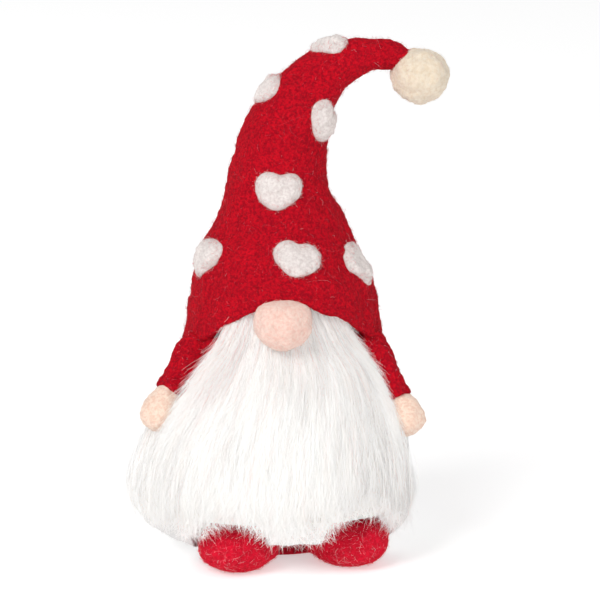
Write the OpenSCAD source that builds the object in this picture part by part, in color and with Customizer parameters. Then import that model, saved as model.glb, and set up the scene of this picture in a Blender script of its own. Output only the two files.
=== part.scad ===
// Felted wool gnome figurine: a bell-shaped body with a long beard, two soft
// arms, two feet and a tall pointed hat whose curled tip carries a wool ball.
// +Z is up and the figure faces -Y. The origin is on the ground, on the body's
// axis. Left is -X and right is +X, as seen by someone facing the figure.

/* [Body] */
// Greatest radius of the felted body
body_r = 47; // [44:0.5:48]
// Height of the head's crown above the ground
head_top = 117; // [114:0.5:118]
// Thickness of the white felt coat over the wool core
coat_t = 3.5; // [3:0.5:4.5]
// Thickness of the felt pad that the body stands on
pad_t = 3; // [2:0.5:3.5]

/* [Hat] */
// Outside radius of the hat at its brim
brim_r = 33.5; // [33:0.25:34.5]
// Thickness of the hat's felt
hat_t = 3; // [2.5:0.25:3]
// Height of the brim's lowest edge above the ground
brim_z = 72; // [71.8:0.1:73]
// How far the brim's front is arched above that edge, over the nose
arch_rise = 18; // [18:0.25:20]
// Width of each felted heart
heart_w = 16.5; // [12:0.5:17]
// Diameter of the wool ball on the hat's tip
pompom_d = 19.8; // [16:0.2:21]

/* [Face and limbs] */
// Diameter of the nose
nose_d = 19; // [16:0.5:19]
// Diameter of each sleeve
sleeve_d = 10; // [8:0.25:10]
// Length from a shoulder's centre to the cuff
sleeve_len = 14.6; // [13:0.2:16]
// Length of a foot
foot_len = 34; // [28:0.5:35]
// Width of a foot
foot_w = 23; // [20:0.5:24]
// Height of a foot
foot_h = 18; // [16:0.25:18]

/* [Hidden] */
$fn = 48;

red = "crimson";
white = "whitesmoke";
cream = "cornsilk";
skin = "peachpuff";

// Clearance between soft pieces that only lie against each other.
gap = 0.3;
big = 200;

// ---- shared functions -------------------------------------------------------

function unit(v) = v / norm(v);

// Catmull-Rom curve through the rows of p, at t from 0 to len(p) - 1.
function row(p, i) = p[max(0, min(len(p) - 1, i))];
function smooth_at(p, t) =
    let (i = min(len(p) - 2, floor(t)), f = t - i,
         a = row(p, i - 1), b = row(p, i), c = row(p, i + 1), d = row(p, i + 2))
    0.5 * (2 * b + f * (c - a) + f * f * (2 * a - 5 * b + 4 * c - d)
           + f * f * f * (3 * b - 3 * c + d - a));
function smooth(p, steps) =
    [for (k = [0 : steps]) smooth_at(p, k * (len(p) - 1) / steps)];

// A profile of [r, z] from the axis round to the axis, moved in by t.
function inset(p, t) =
    [for (i = [0 : len(p) - 1])
        i == 0 ? [0, p[0][1] + t] :
        i == len(p) - 1 ? [0, p[i][1] - t] :
        let (d = unit(p[i + 1] - p[i - 1])) p[i] + t * [-d[1], d[0]]];

// Smoothed step from 0 at a to 1 at b.
function ease(a, b, x) = let (u = max(0, min(1, (x - a) / (b - a)))) u * u * (3 - 2 * u);

// A closed skin over a list of rings with equally many points, each ring
// running clockwise when seen from the first ring towards the last.
module loft(rings) {
    n = len(rings[0]);
    m = len(rings);
    first = [for (k = [0 : 2]) [for (p = rings[0]) p[k]] * [for (p = rings[0]) 1] / n];
    last = [for (k = [0 : 2])
        [for (p = rings[m - 1]) p[k]] * [for (p = rings[m - 1]) 1] / n];
    points = concat([for (r = rings) each r], [first, last]);
    faces = concat(
        [for (i = [0 : n - 1]) [m * n, i, (i + 1) % n]],
        [for (j = [0 : m - 2], i = [0 : n - 1])
            each let (a = j * n + i, b = j * n + (i + 1) % n)
                [[a, a + n, b], [b, a + n, b + n]]],
        [for (i = [0 : n - 1]) [m * n + 1, (m - 1) * n + (i + 1) % n, (m - 1) * n + i]]);
    polyhedron(points, faces, convexity = 8);
}

// ---- body, pad and feet -----------------------------------------------------

body_x = -1.5;             // the body bulges a little to its left
nose_r = nose_d / 2;
nose_at = [-1.3, -32, 83.3];
nose_flat = 89.5;          // the hat's brim presses the nose flat here
foot_top = foot_h - 0.5;   // the body presses the feet flat here
recess_w = 69;
recess_y = -10;            // the recess for the feet is in front of this

body_profile = [for (p = smooth([
    [0, pad_t], [27, pad_t], [body_r * 0.83, 7], [body_r * 0.97, 14],
    [body_r, 22], [body_r * 0.97, 33], [body_r * 0.9, 42], [body_r * 0.765, 51.5],
    [body_r * 0.58, 62], [19.5, 69], [21.5, 76], [24, 86], [21.8, 96],
    [16.5, head_top - 8.5], [8, head_top - 1.5], [0, head_top]], 30))
    [p[0], max(pad_t, p[1])]];

module foot_recess(grow) {
    translate([-recess_w / 2 - grow, recess_y + grow - big, -1])
        cube([recess_w + 2 * grow, big, foot_top + 1 + grow]);
}
module nose_ball() { translate(nose_at) sphere(nose_r); }
module bell(profile) { translate([body_x, 0, 0]) rotate_extrude() polygon(profile); }
module core_shape() {
    difference() {
        bell(inset(body_profile, coat_t));
        foot_recess(coat_t);
    }
}
module body_core() { color(cream) core_shape(); }
module body_coat() {
    color(white) difference() {
        bell(body_profile);
        core_shape();
        foot_recess(0);
        nose_ball();
    }
}

pad_r = 24;
pad_y = 5;
module base_pad() {
    color(red) translate([0, pad_y, 0]) rotate_extrude()
        polygon([[0, 0], [pad_r - 2, 0], [pad_r, pad_t / 2], [pad_r - 1, pad_t], [0, pad_t]]);
}

// Each foot is an egg with a flat sole and a top pressed flat, toes turned out.
// The left foot stands a little further forward.
foot_at = [[-14.7, -30.5], [19.2, -26.7]];
foot_turn = 36;
function foot_ring(z) =
    let (mid = foot_h * 0.47, half = z < mid ? mid + 1 : foot_h - mid,
         f = sqrt(max(0.02, 1 - pow((z - mid) / half, 2))))
    [for (k = [0 : 27])
        let (a = -k * 360 / 28, egg = 1 + 0.1 * sin(a),
             x = foot_w / 2 * egg * f * cos(a), y = foot_len / 2 * f * -sin(a))
        [x, y, z]];
module foot(side) {
    zs = [0, 0.8, 2.2, 4.5, 7, 9.5, 12, 14.2, 16, foot_top];
    scale_z = foot_top / zs[len(zs) - 1];
    translate(side < 0 ? foot_at[0] : foot_at[1]) rotate([0, 0, side * foot_turn])
        loft([for (z = zs) foot_ring(z * scale_z)]);
}
module foot_left() { color(red) foot(-1); }
module foot_right() { color(red) foot(1); }

// ---- beard ------------------------------------------------------------------

backing_t = 1.6;
backing_half_angle = 45;
backing_profile = [
    [26, 72.5], [26.8, 68], [body_r * 0.62 + 1, 61.5], [body_r * 0.765 + 1.6, 52.5],
    [body_r * 0.9 + 1.2, 42.5], [body_r * 0.97 + 0.8, 33.2], [body_r + 0.6, 22],
    [body_r + 0.1, 18.5]];
fleece_front = [
    [49.8, foot_h + 0.2], [52, 21], [51.8, 30], [48.5, 42], [44, 53], [38, 63],
    [33.5, 70], [31, 72.5]];
fleece_half_angle = 46;

module sector(profile, half_angle) {
    translate([body_x, 0, 0]) rotate([0, 0, -90 - half_angle])
        rotate_extrude(angle = 2 * half_angle) polygon(profile);
}
function reversed(p) = [for (i = [len(p) - 1 : -1 : 0]) p[i]];
module beard_backing() {
    color(cream) sector(
        concat(backing_profile, [for (p = reversed(backing_profile)) p + [backing_t, 0]]),
        backing_half_angle);
}
module beard_fleece() {
    lining = [for (p = backing_profile) p + [backing_t + 0.2, 0]];
    color(white) sector(concat(fleece_front, lining), fleece_half_angle);
}
module nose() {
    color(skin) difference() {
        nose_ball();
        translate([-big / 2, -big / 2, nose_flat]) cube(big);
    }
}

// ---- hat --------------------------------------------------------------------

// The line through the middle of the hat, as [x, y, z, radius].
hat_spine = [
    [1.3, 0, brim_z, brim_r], [1.4, 0.3, 85, brim_r * 0.95], [1.1, 0.8, 95, brim_r * 0.855],
    [0.2, 1.5, 108, brim_r * 0.69], [0.1, 2, 120, brim_r * 0.54],
    [0.6, 2.2, 130, brim_r * 0.48], [2.6, 2, 140.5, brim_r * 0.425],
    [8.8, 1, 153.6, brim_r * 0.32], [17.2, 0, 161.6, brim_r * 0.252],
    [28, -1, 165.8, brim_r * 0.18], [37, -1.8, 166, brim_r * 0.142],
    [44, -2.4, 163.9, brim_r * 0.1]];
spine_steps = 88;
spine_rows = smooth(hat_spine, spine_steps);
function place(r) = [r[0], r[1], r[2]];
function lengths(i = 0, s = 0) = i > spine_steps ? [] :
    let (d = i == 0 ? 0 : norm(place(spine_rows[i]) - place(spine_rows[i - 1])))
    concat([s + d], lengths(i + 1, s + d));
along = lengths();
tables = [for (k = [0 : 3]) [for (i = [0 : spine_steps]) [along[i], spine_rows[i][k]]]];
spine_len = along[spine_steps];
function spine(s) = [for (k = [0 : 2]) lookup(s, tables[k])];
function girth(s) = lookup(s, tables[3]);
function heading(s) = unit(spine(min(spine_len, s + 1)) - spine(max(0, s - 1)));
// Direction from the spine at angle phi, where 0 is the front and 90 the right.
function outward(phi, s) =
    let (t = heading(s), across = unit(cross([0, 1, 0], t)), back = cross(t, across))
    sin(phi) * across - cos(phi) * back;
// The brim stands out in front, over the nose.
function front_bump(phi, s) = 2.8 * (1 - ease(15, 60, abs(phi))) * (1 - ease(15, 40, s));
function hat_point(phi, s, h) =
    spine(s) + (girth(s) + front_bump(phi, s) + h) * outward(phi, s);
// Height of the brim's edge above its lowest level, at angle phi.
function brim_edge(phi) =
    (arch_rise - 3.5) * (1 - ease(5, 72, abs(phi))) + 3.5 * max(0, cos(phi));

hat_sides = 40;
function hat_angles() = [for (k = [0 : hat_sides - 1]) 180 - k * 360 / hat_sides];
function hat_ring(share, s_top, h) =
    [for (phi = hat_angles())
        let (e = brim_edge(phi)) hat_point(phi, e + share * (s_top - e), h)];

// The tip bends about this point, as a ball in a shallow seat.
bend_s = along[round(spine_steps * 9.375 / 11)];
bend_at = spine(bend_s);
bend_back = 4;
seat_r = girth(bend_s) + gap;
cavity_s = along[round(spine_steps * 7.5 / 11)];
function ball_ring(radius, polar) =
    [for (phi = hat_angles())
        bend_at - radius * cos(polar) * heading(bend_s)
        + radius * sin(polar) * outward(phi, bend_s)];

module hat() {
    outer_rings = 22;
    inner_rings = 14;
    seat_edge = acos(bend_back / seat_r);
    color(red) loft(concat(
        [for (a = [2, 14, 28, seat_edge]) ball_ring(seat_r, a)],
        [for (k = [outer_rings : -1 : 0]) hat_ring(k / outer_rings, bend_s - bend_back, 0)],
        [for (k = [0 : inner_rings]) hat_ring(k / inner_rings, cavity_s, -hat_t)],
        [[for (phi = hat_angles()) hat_point(phi, cavity_s + 1.5, -girth(cavity_s) * 0.6)]]));
}

// Loose wool that keeps the hat's crown up, from the head to the cavity's end.
module hat_filling() {
    steps = 12;
    low = head_top - brim_z + 2;
    color(cream) loft(concat(
        [[for (phi = hat_angles()) hat_point(phi, low - 0.8, -girth(low) * 0.55)]],
        [for (k = [0 : steps])
            [for (phi = hat_angles())
                hat_point(phi, low + k * (cavity_s - 1 - low) / steps, -hat_t - gap)]]));
}

// The tip's end is dished where the wool ball is sewn on.
pompom_at = [46.8, -3.2, 159.8];
pompom_r = pompom_d / 2;
tip_end_s = spine_len - 8;
dish_way = unit(spine(tip_end_s) - pompom_at);
function dish_ring(a) =
    [for (phi = hat_angles())
        let (o = outward(phi, tip_end_s), side = unit(o - (o * dish_way) * dish_way))
        pompom_at + (pompom_r + gap) * (cos(a) * dish_way + sin(a) * side)];
module hat_tip() {
    steps = 7;
    color(red) loft(concat(
        [for (a = [2, 15, 30, 45, 60, 75]) ball_ring(girth(bend_s), a)],
        [for (k = [0 : steps])
            [for (phi = hat_angles())
                hat_point(phi, bend_s + k * (tip_end_s - bend_s) / steps, 0)]],
        [for (a = [27, 20, 13, 6, 1]) dish_ring(a)]));
}
module pompom() { color(cream) translate(pompom_at) sphere(pompom_r); }

// Each heart is felted onto the hat: [angle, distance along the spine, turn].
heart_rows = [
    [8, 30.5, 14], [66, 25.5, -20], [140, 31, 8], [-140, 30, -6], [-73, 30.5, 12],
    [-4, 51.5, 0], [146, 53, -10], [-146, 54, 12], [60, 79.5, 12], [-88, 80, -8],
    [150, 78, 15], [-97, 99.5, 0]];
heart_thick = 2.4;
heart_lift = 0.15;
heart_sides = 32;
// Surface length of the hat's side at angle phi per unit of length of the spine.
function stretch(phi, s) = norm(hat_point(phi, s + 4, 0) - hat_point(phi, s - 4, 0)) / 8;
// A rounded heart outline about its middle, one unit wide, in order round it.
function heart_outline(a) = [
    0.4 * sin(a) - 0.09 * sin(3 * a),
    0.07 + 0.355 * cos(a) - 0.12 * cos(2 * a) - 0.03 * cos(3 * a)];
function heart_ring(at, size, h) =
    [for (k = [0 : heart_sides - 1])
        let (p = heart_outline(360 - k * 360 / heart_sides) * size,
             u = p[0] * cos(at[2]) + p[1] * sin(at[2]),
             v = p[1] * cos(at[2]) - p[0] * sin(at[2]),
             phi = at[0] + u / girth(at[1]) * 180 / PI)
        hat_point(phi, at[1] + v / stretch(phi, at[1]), h)];
module heart(i) {
    layers = [[0.02, heart_lift], [0.2, heart_lift], [0.4, heart_lift], [0.6, heart_lift],
              [0.8, heart_lift], [0.97, heart_lift], [1, 0.6], [0.96, 1.3], [0.84, 1.9],
              [0.6, 2.25], [0.3, heart_thick]];
    color(white) loft([for (l = layers) heart_ring(heart_rows[i], heart_w * l[0], l[1])]);
}

// ---- collar and arms --------------------------------------------------------

shoulder = [30, -12, 66];
arm_way = [12, -9, -16];     // from a shoulder towards its hand, right arm
sleeve_r = sleeve_d / 2;
tie_r = 0.9;
tie_knot_r = 1.6;
tie_len = 8;
tie_bore_r = tie_r + 0.05;   // running fit
lift_max = 50;
collar_r = 24;
collar_tube_r = 5.2;
collar_z = 69.4;

// A red roll round the neck, open at the front. The sleeves start at its ends.
module neck_collar() {
    open_half_angle = 51;
    color(red) difference() {
        rotate([0, 0, -90 + open_half_angle])
            rotate_extrude(angle = 360 - 2 * open_half_angle)
                translate([collar_r, collar_z]) circle(collar_tube_r);
        bell(body_profile);
        for (side = [-1, 1]) at_shoulder(side) {
            sphere(sleeve_r + 0.4);
            tie_rod(tie_bore_r, tie_len + 0.4);
        }
    }
}
module at_shoulder(side) {
    translate([side * shoulder[0], shoulder[1], shoulder[2]])
        mirror([side < 0 ? 1 : 0, 0, 0]) children();
}
// Rod from the shoulder's centre into the collar.
module tie_rod(r, len) { rotate([0, -90, 0]) cylinder(r = r, h = len); }
module along_arm() {
    turn = atan2(arm_way[1], arm_way[0]);
    tilt = acos(arm_way[2] / norm(arm_way));
    rotate([0, 0, turn]) rotate([0, tilt, 0]) children();
}
module sleeve(side) {
    slot_w = 2.4;
    slot_step = 10;
    color(red) at_shoulder(side) difference() {
        union() {
            sphere(sleeve_r);
            along_arm() cylinder(r = sleeve_r, h = sleeve_len);
        }
        sphere(tie_knot_r + 0.25);
        // The tie sweeps this slot as the arm lifts.
        for (lift = [0 : slot_step : lift_max]) rotate([0, lift, 0])
            tie_rod(slot_w / 2, sleeve_r + 2);
    }
}
module hand(side) {
    hand_r = 5.7;
    hand_len = 14.6;
    color(skin) at_shoulder(side) along_arm() translate([0, 0, sleeve_len]) rotate_extrude()
        polygon(concat([[0, 0], [3.9, 0]],
            [for (a = [25 : 10 : 175])
                [hand_r * sin(a) * (1 + 0.04 * cos(a)), hand_len / 2 * (0.9 - cos(a))]],
            [[0, hand_len * 0.95]]));
}
// Sewing thread that holds an arm on: a shank with a knot in the sleeve.
module shoulder_tie(side) {
    color(white) at_shoulder(side) union() {
        sphere(tie_knot_r);
        tie_rod(tie_r, tie_len);
    }
}
module sleeve_left() { sleeve(-1); }
module sleeve_right() { sleeve(1); }
module hand_left() { hand(-1); }
module hand_right() { hand(1); }
module shoulder_tie_left() { shoulder_tie(-1); }
module shoulder_tie_right() { shoulder_tie(1); }

// ---- nodes ------------------------------------------------------------------

body_core();
body_coat();
base_pad();
foot_left();
foot_right();
neck_collar();
beard_backing();
beard_fleece();
nose();
hat();
hat_filling();
hat_tip();
pompom();
heart(0);  // heart_low_front
heart(1);  // heart_low_right
heart(2);  // heart_low_back_right
heart(3);  // heart_low_back_left
heart(4);  // heart_low_left
heart(5);  // heart_mid_front
heart(6);  // heart_mid_back_right
heart(7);  // heart_mid_back_left
heart(8);  // heart_high_right
heart(9);  // heart_high_left
heart(10);  // heart_high_back
heart(11);  // heart_top
sleeve_left();
hand_left();
shoulder_tie_left();
sleeve_right();
hand_right();
shoulder_tie_right();
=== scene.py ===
"""Needle-felted wool gnome: every visible piece of felt, wool and hair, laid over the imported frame."""

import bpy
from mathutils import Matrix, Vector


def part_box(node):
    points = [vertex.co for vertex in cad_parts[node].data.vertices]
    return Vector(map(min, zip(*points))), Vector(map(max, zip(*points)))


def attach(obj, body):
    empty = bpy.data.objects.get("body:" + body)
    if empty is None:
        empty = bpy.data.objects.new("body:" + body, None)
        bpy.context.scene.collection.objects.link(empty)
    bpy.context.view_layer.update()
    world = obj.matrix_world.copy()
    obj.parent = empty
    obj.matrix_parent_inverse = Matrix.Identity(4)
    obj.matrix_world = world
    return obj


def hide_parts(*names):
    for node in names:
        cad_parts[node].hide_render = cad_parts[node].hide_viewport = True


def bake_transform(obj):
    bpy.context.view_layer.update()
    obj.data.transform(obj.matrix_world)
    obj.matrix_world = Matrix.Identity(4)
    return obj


bl_info = {
    "name": "Felted Gnome",
    "version": (1, 0, 0),
    "blender": (4, 5, 0),
    "location": "View3D > Sidebar > Gnome",
    "description": "Makes a needle-felted gnome with a curled hat, hearts and a combed beard",
    "category": "Add Mesh",
}

import math
from functools import partial

import bpy
import numpy as np
from bpy.props import FloatProperty, FloatVectorProperty, IntProperty, PointerProperty
from bpy.types import Operator, Panel, PropertyGroup
from mathutils import Vector

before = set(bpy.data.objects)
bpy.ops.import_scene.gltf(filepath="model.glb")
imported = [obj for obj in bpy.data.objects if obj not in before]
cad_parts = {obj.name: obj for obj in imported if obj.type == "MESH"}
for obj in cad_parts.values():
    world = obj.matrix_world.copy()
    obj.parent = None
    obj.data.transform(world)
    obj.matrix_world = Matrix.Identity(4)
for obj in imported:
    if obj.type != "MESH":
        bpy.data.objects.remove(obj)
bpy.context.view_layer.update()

MM = 0.001
TAU = 2 * np.pi

# Shapes are worked out in millimetres, in the frame's axes, and put into meshes in metres.
BODY_X = -1.5
BODY_PROFILE = [
    (0, 3), (27, 3), (39.0, 7), (45.6, 14), (47, 22), (45.6, 33), (42.3, 42), (36, 51.5),
    (27.3, 62), (19.5, 69), (22, 76), (25.2, 86), (23.6, 96), (17.5, 108.5), (8, 115.5),
    (0, 117)]
HAT_ROWS = [
    (1.2, 0, 72, 33.1), (1.1, 0.3, 85, 31.3), (0.2, 0.8, 95, 28.7), (0.4, 1.5, 108, 23.2),
    (-0.2, 2, 120, 17.6), (0.5, 2.2, 130, 15.8), (2.6, 2, 140.5, 14.1), (8.8, 1, 153.6, 10.7),
    (17.2, 0, 161.8, 8.4), (28, -1, 166.4, 5.9), (37, -1.8, 166.6, 4.6), (44, -2.4, 164.3, 3.5)]
HAT_THICK = 3.0
# Seed of the hat's lumps, height of its small ones and sizes of both.
HAT_SEED, HAT_FINE, HAT_SIZES = 51, 0.11, (10, 2.8)
# Each heart: angle round the hat, distance along the hat's middle line, and turn.
HEARTS = {
    "low_front": (8, 30.2, 14), "low_right": (65, 25.2, 0),
    "low_back_right": (140, 31, 8), "low_back_left": (-140, 30, -6),
    "low_left": (-70, 28.7, -2), "mid_front": (-4.5, 52.2, 2),
    "mid_back_right": (146, 53, -10), "mid_back_left": (-146, 54, 12),
    "high_right": (54, 80.3, 22), "high_left": (-97, 79.5, -8),
    "high_back": (150, 78, 15), "top": (-103, 99.5, 0)}
# These have only a shallow notch.
FULL_HEARTS = ("low_left", "low_right")
# A heart's radius, as a share of its width, at angles from its notch.
HEART_RADIUS = [(0, 0.2), (15, 0.28), (31, 0.385), (50, 0.45), (74, 0.5), (90, 0.49),
                (105, 0.445), (136, 0.375), (165, 0.39), (180, 0.43)]
NOSE_AT = (-1.4, -32, 83.6)
FOOT_AT = {"left": (-14.7, -30.5), "right": (19.2, -26.7)}
# The hollow in the body's front over each foot: its middle across, half width and height.
FOOT_RIM = ((-18.5, 10.8, 10.8), (22.5, 11.5, 12.2))
FOOT_MIDDLE = 8.7
# How far back the soles go under the body.
SOLE_BACK = -17
SHOULDER = (30, -12, 66)
# For each arm: its direction, the cuff's distance from the shoulder, and the hand's length and
# radius. The right arm hangs lower and its hand is slimmer.
ARMS = {"left": ((12, -9, -16), 13.3, 13.8, 6.2), "right": ((10.2, -9, -17), 16.4, 12.9, 5.7)}
SIDES = ((-1, "left"), (1, "right"))
# Profiles of radius and distance: the sleeve's from the shoulder, before its cuff, and the
# palm's from the cuff, in shares of its radius and length.
SLEEVE_PROFILE = [(0.4, -10.5), (4.2, -9.8), (6.8, -7), (7.4, -2.5), (6.9, 3), (6.1, 8)]
PALM_PROFILE = [(0.05, -0.12), (0.5, -0.11), (0.8, -0.01), (0.98, 0.22), (1.02, 0.46), (0.97, 0.68),
    (0.75, 0.88), (0.38, 0.98), (0.04, 1)]
# Profile of the pad under the body, as radius and height.
PAD_PROFILE = [(0.6, 0.2), (12, 0.02), (22, 0.05), (23.6, 0.5), (24, 1.5), (23.3, 2.6), (21, 3.1), (8, 3.1),
    (0.6, 3.1)]
# The roll round the neck: the radius of its arc, its height and its half thickness.
COLLAR = (25.3, 70.8, 6.7)
# The beard's outline down its middle, as radius and height, and its edges: height, left and
# right angles from the front.
BEARD_LINE = [
    (27.5, 92), (29, 86), (29.8, 80), (31, 74), (33.6, 69.5), (38, 63), (44, 53), (48.5, 42),
    (51.3, 30), (51.8, 21), (50.5, 13), (48, 7), (45, 3)]
BEARD_EDGES = [(10, -54, 48), (25, -57, 50), (45, -54, 52), (64, -46, 56), (75, -39, 50), (88, -30, 36)]
# Lights: name, place (m), width (m) and power (W).
LIGHTS = (("key", (-1.5, -1.9, 2.0), 1.4, 57.0), ("fill", (0.9, -1.0, 0.5), 1.2, 5.0),
    ("rim", (-0.6, 0.9, 0.9), 0.8, 1.5))


# Curves and lumps


def unit(v):
    """Each vector divided by its length."""
    return v / np.maximum(np.linalg.norm(v, axis=-1, keepdims=True), 1e-12)


def ease(a, b, x):
    """Smoothed step from 0 at a to 1 at b: 3u^2 - 2u^3."""
    u = np.clip((x - a) / (b - a), 0, 1)
    return u * u * (3 - 2 * u)


def smooth(rows, steps):
    """Catmull-Rom curve through the rows, at equal steps of its parameter."""
    p = np.asarray(rows, float)
    t = np.linspace(0, len(p) - 1, steps + 1)
    i = np.minimum(t.astype(int), len(p) - 2)
    f = (t - i)[:, None]
    a, b = p[np.maximum(i - 1, 0)], p[i]
    c, d = p[i + 1], p[np.minimum(i + 2, len(p) - 1)]
    return 0.5 * (2 * b + f * (c - a) + f**2 * (2 * a - 5 * b + 4 * c - d) + f**3 * (3 * b - 3 * c + d - a))


def distances(line):
    """Distance along a line to each of its points."""
    return np.concatenate([[0], np.cumsum(np.linalg.norm(np.diff(line, axis=0), axis=1))])


def sample(columns, known, wanted):
    """The columns, which are known at some distances, at the wanted ones."""
    return np.stack([np.interp(wanted, known, column) for column in columns.T], -1)


def even(line, count):
    """The line sampled at count points spaced evenly along its length."""
    s = distances(line)
    return sample(line, s, np.linspace(0, s[-1], count))


def lumps(points, size, seed, waves=16):
    """Random lumps about 1 high: the sum of plane sine waves in random directions, each about
    size long, over the root of half their number."""
    r = np.random.default_rng(seed)
    way = unit(r.normal(size=(waves, 3)))
    k = TAU / (size * r.uniform(0.7, 1.5, waves))
    phase = r.uniform(0, TAU, waves)
    out = np.zeros(points.shape[:-1])
    for w, q, f in zip(way, k, phase):
        out += np.sin((points @ w) * q + f)
    return out / math.sqrt(waves / 2)


def grid_normals(grid):
    """Outward normals of a grid that closes on itself sideways: the cross product of the
    differences along its rows and columns, turned to point away from its middle line."""
    across = np.roll(grid, -1, 1) - np.roll(grid, 1, 1)
    n = unit(np.cross(across, np.gradient(grid, axis=0)))
    return n if ((grid - grid.mean(axis=1, keepdims=True)) * n).sum() > 0 else -n


def felted(grid, seed, coarse=0.3, fine=0.12, coarse_size=9.0, fine_size=2.6):
    """The grid moved along its normals by large soft lumps, small ones and needle dimples."""
    height = felt_height(grid, seed, coarse, fine, coarse_size, fine_size)
    return grid + grid_normals(grid) * height[..., None]


def felt_height(points, seed, coarse, fine, coarse_size, fine_size):
    """How far felt stands out at the points: large lumps, small ones and needle dimples."""
    return (coarse * lumps(points, coarse_size, seed) + fine * lumps(points, fine_size, seed + 1)
        + 0.45 * fine * lumps(points, fine_size * 0.45, seed + 2))


# Meshes


def add_object(name, data):
    """A new object in the scene."""
    obj = bpy.data.objects.new(name, data)
    bpy.context.scene.collection.objects.link(obj)
    return obj


def put_mesh(name, points, faces, slots=None):
    """A new object whose mesh holds the points (mm), and faces given as arrays of indices."""
    mesh = bpy.data.meshes.new(name)
    total = sum(len(f) for f in faces)
    mesh.vertices.add(len(points))
    mesh.vertices.foreach_set("co", (points * MM).astype(np.float32).ravel())
    mesh.loops.add(sum(f.size for f in faces))
    mesh.loops.foreach_set("vertex_index", np.concatenate([f.ravel() for f in faces]).astype(np.int32))
    sides = np.concatenate([np.full(len(f), f.shape[1]) for f in faces])
    starts = np.concatenate([[0], np.cumsum(sides)[:-1]])
    mesh.polygons.add(total)
    mesh.polygons.foreach_set("loop_start", starts.astype(np.int32))
    mesh.polygons.foreach_set("use_smooth", np.ones(total, bool))
    if slots is not None:
        mesh.polygons.foreach_set("material_index", slots.astype(np.int32))
    mesh.update(calc_edges=True)
    return add_object(name, mesh)


def skin(name, grid):
    """A closed object over a grid of rings, with a fan of triangles in the first ring and the
    last. The sign of the volume that its faces hold turns them outwards."""
    rows, cols = grid.shape[:2]
    points = np.concatenate([grid.reshape(-1, 3), grid[0].mean(0)[None], grid[-1].mean(0)[None]])
    k = np.arange(cols)
    nxt = (k + 1) % cols
    base = (np.arange(rows - 1) * cols)[:, None]
    quads = np.stack([base + k, base + nxt, base + cols + nxt, base + cols + k], -1).reshape(-1, 4)
    first = np.stack([np.full(cols, rows * cols), nxt, k], 1)
    last = np.stack([np.full(cols, rows * cols + 1), (rows - 1) * cols + k, (rows - 1) * cols + nxt], 1)
    corners = np.concatenate([quads[:, :3], quads[:, [0, 2, 3]], first, last])
    a, b, c = (points[corners[:, i]] for i in range(3))
    if (a * np.cross(b, c)).sum() < 0:
        quads, first, last = quads[:, ::-1], first[:, ::-1], last[:, ::-1]
    return put_mesh(name, points, [quads, np.concatenate([first, last])])


def strands(name, paths, radii, slots, rng):
    """One object of many hairs: each is a closed three-sided tube round its path, with rings
    set square to the path and capped at both ends."""
    n, m = paths.shape[:2]
    way = unit(np.gradient(paths, axis=1))
    ref = unit(rng.normal(size=(n, 1, 3)))
    side = unit(ref - (ref * way).sum(-1, keepdims=True) * way)
    other = np.cross(way, side)
    points = np.stack([paths + radii[..., None] * (math.cos(a) * side + math.sin(a) * other)
        for a in (0, TAU / 3, 2 * TAU / 3)], 2).reshape(-1, 3)
    head = (np.arange(n) * m * 3)[:, None]
    ring = head[:, None] + (np.arange(m - 1) * 3)[:, None]
    k = np.arange(3)
    nxt = (k + 1) % 3
    quads = np.stack([ring + k, ring + nxt, ring + 3 + nxt, ring + 3 + k], -1).reshape(-1, 4)
    per = np.concatenate([np.repeat(slots, (m - 1) * 3), slots, slots])
    return put_mesh(name, points, [quads, head + k[::-1], head + (m - 1) * 3 + k], per)


def scatter(grid, count, rng, keep=None):
    """Points spread over a closed grid in proportion to its area, times keep(point) if given,
    and the outward normals there."""
    normals = grid_normals(grid)
    right = np.roll(grid, -1, 1)
    across, along = right[:-1] - grid[:-1], grid[1:] - grid[:-1]
    weight = np.linalg.norm(np.cross(across, along), axis=-1)
    if keep is not None:
        weight = weight * keep(grid[:-1])
    weight = weight.ravel() / weight.sum()
    i, j = np.divmod(rng.choice(len(weight), count, p=weight), grid.shape[1])
    u, v = rng.random((2, count, 1))
    j2 = (j + 1) % grid.shape[1]
    def mix(g):
        low = g[i, j] * (1 - u) + g[i, j2] * u
        high = g[i + 1, j] * (1 - u) + g[i + 1, j2] * u
        return low * (1 - v) + high * v
    return mix(grid), unit(mix(normals))


def fuzz_paths(at, normal, rng, length, lift, curl, hug, steps):
    """Paths of short loose hairs. Each leaves the surface at a random heading and rises by lift
    times its length, waves sideways by curl times it, and dips by t^2 length^2 / 2 hug."""
    n = len(at)
    heading = unit(np.cross(normal, rng.normal(size=(n, 3))))
    sideways = np.cross(normal, heading)
    size = (length[0] + (length[1] - length[0]) * rng.random(n) ** 2)[:, None, None]
    t = np.linspace(0, 1, steps + 1)[None, :, None]
    rise = (lift[0] + (lift[1] - lift[0]) * rng.random(n))[:, None, None]
    sway = (curl * rng.normal(size=n))[:, None, None]
    turn = rng.uniform(0.7, 1.6, n)[:, None, None]
    arc = np.sin(t * turn * math.pi)
    at, normal, heading, sideways = (v[:, None] for v in (at, normal, heading, sideways))
    out = at - 0.12 * normal + heading * size * t * (1 - 0.25 * np.abs(sway) * t)
    out += sideways * size * sway * t * t + normal * size * rise * (0.55 * t + 0.45 * arc)
    if hug:
        out -= normal * (size * t) ** 2 / (2 * hug)
    return out


def taper(n, steps, thick, rng, root=0.8, tip=0.35):
    """Half thicknesses along n hairs: root, full in the middle and fine at the tip."""
    t = np.linspace(0, 1, steps + 1)[None]
    shape = np.interp(t, [0, 0.3, 1], [root, 1, tip])
    return 0.5 * thick * rng.uniform(0.7, 1.25, (n, 1)) * shape


# Materials


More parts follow.
